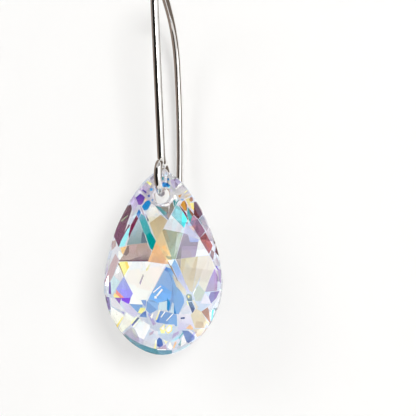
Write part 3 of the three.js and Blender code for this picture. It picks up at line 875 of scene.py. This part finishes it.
def make_stage():
    """The backdrop, which is clear from behind"""
    back = cad_box[1].y + BACKDROP_GAP
    floor = cad_box[0].z - FLOOR_DROP
    profile = [(-SHEET_FRONT, floor)]
    for step in range(SWEEP_STEPS + 1):
        angle = math.radians(90 * step / SWEEP_STEPS)
        profile.append((
            back - SWEEP_RADIUS + SWEEP_RADIUS * math.sin(angle),
            floor + SWEEP_RADIUS - SWEEP_RADIUS * math.cos(angle),
        ))
    profile.append((back, SHEET_REACH))
    bm = bmesh.new()
    rows = [[bm.verts.new((side, y, z)) for side in (-SHEET_REACH, SHEET_REACH)] for y, z in profile]
    for near, far in zip(rows, rows[1:]):
        face = bm.faces.new((near[0], near[1], far[1], far[0]))
        face.smooth = True
    mesh = bpy.data.meshes.new("backdrop")
    bm.to_mesh(mesh)
    bm.free()
    backdrop = add_object("backdrop", mesh)
    material, nodes, links = new_material("white paper")
    shader = nodes["Principled BSDF"]
    shader.inputs["Base Color"].default_value = PAPER
    shader.inputs["Roughness"].default_value = PAPER_ROUGHNESS
    shader.inputs["Specular IOR Level"].default_value = 0.0
    clear = nodes.new("ShaderNodeBsdfTransparent")
    side = nodes.new("ShaderNodeNewGeometry")
    mix = nodes.new("ShaderNodeMixShader")
    links.new(side.outputs["Backfacing"], mix.inputs["Fac"])
    links.new(shader.outputs["BSDF"], mix.inputs[1])
    links.new(clear.outputs["BSDF"], mix.inputs[2])
    links.new(mix.outputs["Shader"], nodes["Material Output"].inputs["Surface"])
    mesh.materials.append(material)


# Round lamps that look at the crystal: a direction, how far off and how wide in millimetres, and watts
LAMPS = (
    ("right key", (0.52, -1.0, 0.12), 400, 130, 0.56),
    ("left key", (-0.85, -1.0, 0.55), 400, 200, 0.18),
)


def make_lamp(name, direction, distance, size, power):
    data = bpy.data.lights.new(name, "AREA")
    data.shape = "DISK"
    data.size = size * MM
    data.energy = power
    lamp = bpy.data.objects.new(name, data)
    way = Vector(direction).normalized()
    lamp.location = crystal_middle + way * distance * MM
    lamp.rotation_mode = "QUATERNION"
    lamp.rotation_quaternion = way.to_track_quat("Z", "Y")
    bpy.context.scene.collection.objects.link(lamp)


# Cards that only mirroring surfaces see: which way they stand from the hole, in degrees round
# from the front and up, how far off, their width and height in millimetres, and their colour
CARDS = (
    ("black card", -30, 0, 150, 226, 340, (0.012, 0.010, 0.009)),
    ("white card", 45, 10, 150, 130, 300, (1.5, 1.5, 1.5)),
    ("left edge card", -100, 0, 9, 16, 90, (0.26, 0.21, 0.18)),
    ("right edge card", 122, 0, 10, 8, 90, (0.16, 0.13, 0.11)),
    ("loop card", -25, -5, 24, 39, 48, (0.015, 0.012, 0.010)),
)


def make_card(name, azimuth, elevation, distance, width, height, colour):
    round_angle, up_angle = math.radians(azimuth), math.radians(elevation)
    way = Vector((
        math.sin(round_angle) * math.cos(up_angle),
        -math.cos(round_angle) * math.cos(up_angle),
        math.sin(up_angle),
    ))
    turn = way.to_track_quat("Z", "Y").to_matrix()
    middle = swing + way * distance * MM
    corners = [(-1, -1), (1, -1), (1, 1), (-1, 1)]
    points = [
        middle + turn @ Vector((across * width * MM / 2, up * height * MM / 2, 0))
        for across, up in corners
    ]
    mesh = bpy.data.meshes.new(name)
    mesh.from_pydata(points, [], [range(4)])
    card = add_object(name.replace(" ", "_"), mesh)
    material, nodes, links = new_material(name)
    shader = nodes["Principled BSDF"]
    shader.inputs["Base Color"].default_value = (0, 0, 0, 1)
    shader.inputs["Specular IOR Level"].default_value = 0
    shader.inputs["Emission Color"].default_value = (*colour, 1)
    shader.inputs["Emission Strength"].default_value = 1
    mesh.materials.append(material)
    for kind in ("camera", "diffuse", "transmission", "volume_scatter", "shadow"):
        setattr(card, "visible_" + kind, False)


# Dark parts of the studio, which the wire and the facets mirror: a direction, how far they reach
# round it in degrees, and how dark they are
DARK_PARTS = (
    ("low left", (-1.0, -0.5, -0.55), 24, 0.55),
    ("low right", (1.0, -0.6, -0.5), 20, 0.50),
    ("high back", (0.4, -0.3, 1.0), 18, 0.55),
)
DARK_PART_SOFTNESS = 4
STUDIO_LEVEL = 0.62


def make_studio():
    """The light from all round, dimmed by STUDIO_LEVEL, but plain white where the camera sees it"""
    world = bpy.data.worlds.new("studio")
    world.use_nodes = True
    bpy.context.scene.world = world
    nodes, links = world.node_tree.nodes, world.node_tree.links
    place = nodes.new("ShaderNodeTexCoord")
    light = None
    for _name, direction, reach, darkness in DARK_PARTS:
        near = nodes.new("ShaderNodeVectorMath")
        near.operation = "DOT_PRODUCT"
        near.inputs[1].default_value = Vector(direction).normalized()
        links.new(place.outputs["Generated"], near.inputs[0])
        edge = nodes.new("ShaderNodeMapRange")
        edge.interpolation_type = "SMOOTHSTEP"
        edge.inputs["From Min"].default_value = math.cos(math.radians(reach + DARK_PART_SOFTNESS))
        edge.inputs["From Max"].default_value = math.cos(math.radians(reach - DARK_PART_SOFTNESS))
        edge.inputs["To Min"].default_value = 1
        edge.inputs["To Max"].default_value = darkness
        links.new(near.outputs["Value"], edge.inputs["Value"])
        if light is None:
            light = edge.outputs["Result"]
            continue
        both = nodes.new("ShaderNodeMath")
        both.operation = "MULTIPLY"
        links.new(light, both.inputs[0])
        links.new(edge.outputs["Result"], both.inputs[1])
        light = both.outputs["Value"]
    level = nodes.new("ShaderNodeMath")
    level.operation = "MULTIPLY"
    level.inputs[1].default_value = STUDIO_LEVEL
    links.new(light, level.inputs[0])
    seen = nodes.new("ShaderNodeLightPath")
    plain = nodes.new("ShaderNodeMath")
    plain.operation = "MAXIMUM"
    links.new(level.outputs["Value"], plain.inputs[0])
    links.new(seen.outputs["Is Camera Ray"], plain.inputs[1])
    background = nodes["Background"]
    background.inputs["Color"].default_value = (1.0, 1.0, 1.0, 1)
    links.new(plain.outputs["Value"], background.inputs["Strength"])


view = find_view()
make_camera(view)
make_stage()
make_studio()
for lamp in LAMPS:
    make_lamp(*lamp)
for card in CARDS:
    make_card(*card)
bpy.context.scene.view_settings.view_transform = "Standard"

wire = make_wire()
wire.data.materials.append(silver_material())
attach(wire, "wire")
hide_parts("ear_wire")

crystal = make_crystal(view)
crystal.data.materials.append(crystal_material("coated crystal face with painted reflections and glow", FACE_MIRROR))
crystal.data.materials.append(crystal_material("coated crystal back with painted reflections and glow", BACK_MIRROR))
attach(crystal, "drop")
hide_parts("crystal_drop")
